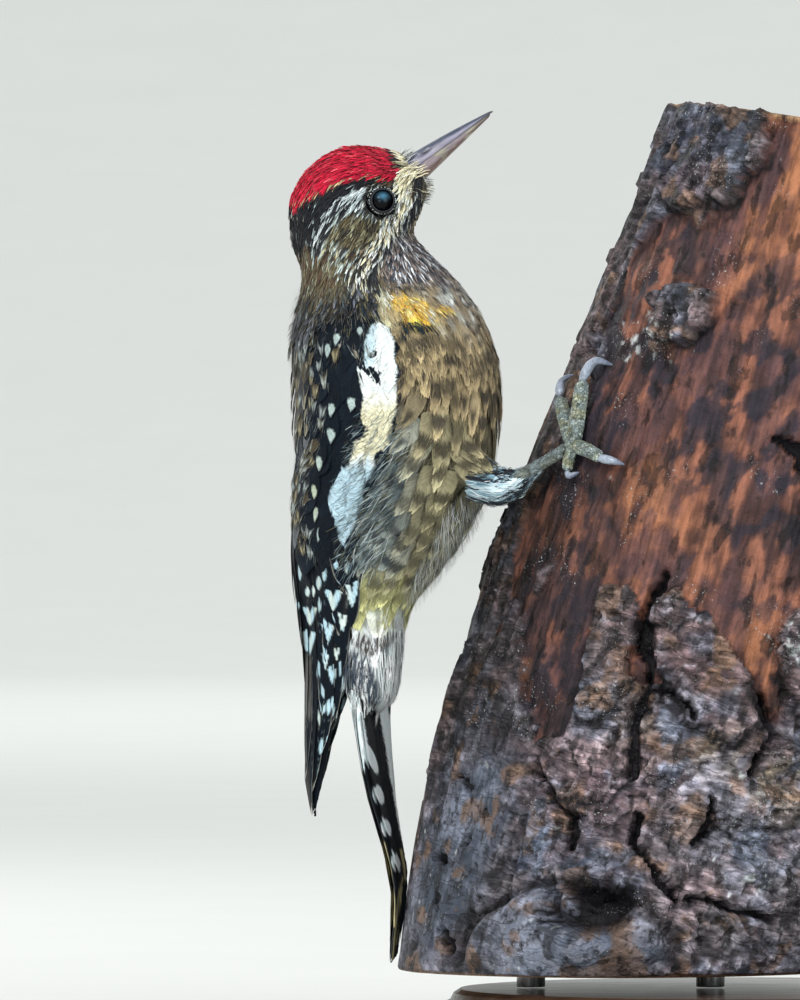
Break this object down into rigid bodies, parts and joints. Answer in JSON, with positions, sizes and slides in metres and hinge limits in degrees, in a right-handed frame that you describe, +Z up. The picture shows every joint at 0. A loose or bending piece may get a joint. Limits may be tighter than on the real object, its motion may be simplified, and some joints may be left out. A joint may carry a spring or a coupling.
{
  "type": "woodpecker",
  "caption": "Life-size young red-capped woodpecker clinging upright to a short leaning trunk on a plain round stand, a still display model.",
  "frame": {"origin": "centre of the round stand's underside", "axes": "+Z up; +X from the bird's back towards the trunk it clings to; -Y the side on which the bird's right side shows"},
  "size_m": [0.1915, 0.144, 0.2252],
  "materials": {
    "head_feathers": "soft overlapping feathers, crimson cap over black, white and brown streaks",
    "body_feathers": "soft overlapping feathers, buff and pale yellow with dark chevrons",
    "wing_feathers": "sleek black feathers with white spots and a white patch",
    "tail_feathers": "stiff black feathers with white spots and pale edges",
    "bill": "satin horn",
    "eye": "clear and wet",
    "foot_skin": "small dry scales",
    "claw": "smooth horn",
    "bark": "weathered, flaking bark over bare reddish wood",
    "stand_wood": "dark satin varnish",
    "stand_rod": "brushed"
  },
  "bodies": {
    "root": {"bill_lower": "bill", "bill_upper": "bill", "body": "body_feathers", "claw_left_1": "claw", "claw_left_2": "claw", "claw_left_3": "claw", "claw_left_4": "claw", "claw_right_1": "claw", "claw_right_2": "claw", "claw_right_3": "claw", "claw_right_4": "claw", "eye_left": "eye", "eye_right": "eye", "foot_left": "foot_skin", "foot_right": "foot_skin", "head": "head_feathers", "neck": "body_feathers", "perch_trunk": "bark", "stand_base": "stand_wood", "stand_rod_1": "stand_rod", "stand_rod_2": "stand_rod", "tail": "tail_feathers", "tail_coverts": "body_feathers", "tarsus_left": "foot_skin", "tarsus_right": "foot_skin", "thigh_left": "body_feathers", "thigh_right": "body_feathers", "wing_left": "wing_feathers", "wing_right": "wing_feathers"}
  },
  "joints": []
}
